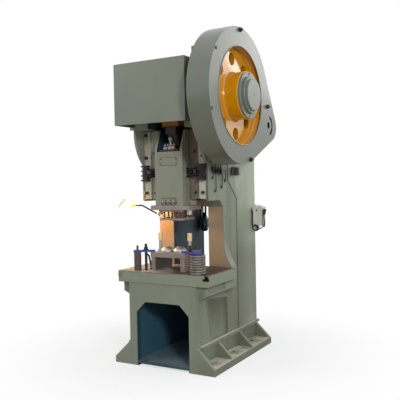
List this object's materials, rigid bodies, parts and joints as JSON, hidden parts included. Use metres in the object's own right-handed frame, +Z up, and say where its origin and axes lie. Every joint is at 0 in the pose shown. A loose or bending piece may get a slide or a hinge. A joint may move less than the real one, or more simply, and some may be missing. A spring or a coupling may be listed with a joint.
{
  "type": "mechanical stamping press",
  "caption": "Open-front crank press with a cast column, side flywheel under a belt guard, a guided ram over a bolted table, and a simple die set clamped in place.",
  "frame": {"origin": "on the floor at the centre of the six foundation bolt holes", "axes": "+X across the machine towards the flywheel, +Y from the front to the back, +Z up"},
  "size_m": [1.1605, 1.299, 2.4539],
  "materials": {
    "machine_paint": "satin grey-green paint, worn and oil stained",
    "hood_paint": "smooth grey-green paint",
    "guard_paint": "satin grey-green paint with a paler face",
    "wheel_paint": "glossy yellow-orange paint",
    "motor_paint": "blue-grey paint",
    "clamp_paint": "blue paint, chipped",
    "table_iron": "ground iron with brown rust",
    "ground_steel": "ground steel, dulled by oil",
    "bright_steel": "polished steel",
    "black_steel": "blackened steel",
    "bronze": "bronze",
    "guide_brass": "pale brass",
    "belt_rubber": "black rubber",
    "grip_plastic": "black plastic",
    "tank_paint": "light grey enamel",
    "plate_paint": "bare painted plate",
    "lamp_paint": "enamelled sheet",
    "bulb_glass": "frosted glass, lit warm",
    "fitting_metal": "cast aluminium",
    "pipe_metal": "dull copper pipe"
  },
  "bodies": {
    "machine": {"frame": "machine_paint", "bolster": "table_iron", "top_cover": "hood_paint", "hood": "hood_paint", "cover_screws": "black_steel", "guard_drum": "guard_paint", "guard_face": "guard_paint", "gib_left": "machine_paint", "gib_right": "machine_paint", "gib_clamps": "black_steel", "gib_screws": "black_steel", "crank_bushes": "bronze", "brake_band": "black_steel", "motor_base": "machine_paint", "motor_body": "motor_paint", "drive_belts": "belt_rubber", "die_rails": "ground_steel", "lower_die_plate": "ground_steel", "forming_domes": "bright_steel", "guide_posts": "bright_steel", "ball_sleeves": "guide_brass", "strap_clamps": "clamp_paint", "clamp_studs": "black_steel", "heel_post": "table_iron", "heel_rings": "bright_steel", "bent_rod": "black_steel", "lubricator": "tank_paint", "oil_distributor": "fitting_metal", "oil_pipes": "pipe_metal", "air_unit": "fitting_metal", "lamp_arm": "black_steel", "lamp_shade": "lamp_paint", "lamp_bulb": "bulb_glass"},
    "flywheel": {"flywheel": "wheel_paint", "flywheel_bearings": "bright_steel", "hub_cover": "machine_paint"},
    "rotor": {"motor_shaft": "bright_steel", "motor_pulley": "table_iron"},
    "crank": {"crankshaft": "ground_steel", "shaft_end_cap": "machine_paint", "brake_drum": "table_iron"},
    "rod": {"connecting_rod": "wheel_paint", "rod_cap": "wheel_paint", "rod_shell": "bronze", "rod_bolts": "black_steel", "adjusting_screw": "ground_steel", "lock_nut": "ground_steel"},
    "ram": {"ram": "machine_paint", "ball_cap": "ground_steel", "ball_seat": "bronze", "shank_clamp": "machine_paint", "ram_bolts": "black_steel", "name_plate": "plate_paint", "ram_plate": "ground_steel", "upper_die": "ground_steel", "guide_bushes": "bright_steel", "stripper_studs": "ground_steel", "stripper_plate": "ground_steel"},
    "oiler_lever": {"lubricator_lever": "bright_steel", "lever_grip": "grip_plastic"}
  },
  "joints": [
    {"name": "flywheel_turn", "type": "hinge", "parent": "machine", "child": "flywheel", "pos_m": [0, -0.27, 1.97], "axis": [1, 0, 0], "continuous": true},
    {"name": "motor_turn", "type": "hinge", "parent": "machine", "child": "rotor", "pos_m": [0, 0.212, 1.797], "axis": [1, 0, 0], "continuous": true},
    {"name": "crank_turn", "type": "hinge", "parent": "machine", "child": "crank", "pos_m": [0, -0.27, 1.97], "axis": [1, 0, 0], "range_deg": [0, 180]},
    {"name": "rod_upright", "type": "hinge", "parent": "crank", "child": "rod", "pos_m": [0, -0.27, 2.02], "axis": [1, 0, 0], "range_deg": [-180, 0]},
    {"name": "ram_slide", "type": "slide", "parent": "machine", "child": "ram", "axis": [0, 0, 1], "range_m": [-0.1, 0]},
    {"name": "oiler_lever_pull", "type": "hinge", "parent": "machine", "child": "oiler_lever", "pos_m": [0.325, 0.47, 0.972], "axis": [0, 1, 0], "range_deg": [0, 55]}
  ],
  "couplings": [
    {"joint": "motor_turn", "follows": "flywheel_turn", "ratio": 6.3485},
    {"joint": "rod_upright", "follows": "crank_turn", "ratio": -1},
    {"joint": "ram_slide", "follows": "crank_turn", "m_per_rad": -0.031831}
  ]
}
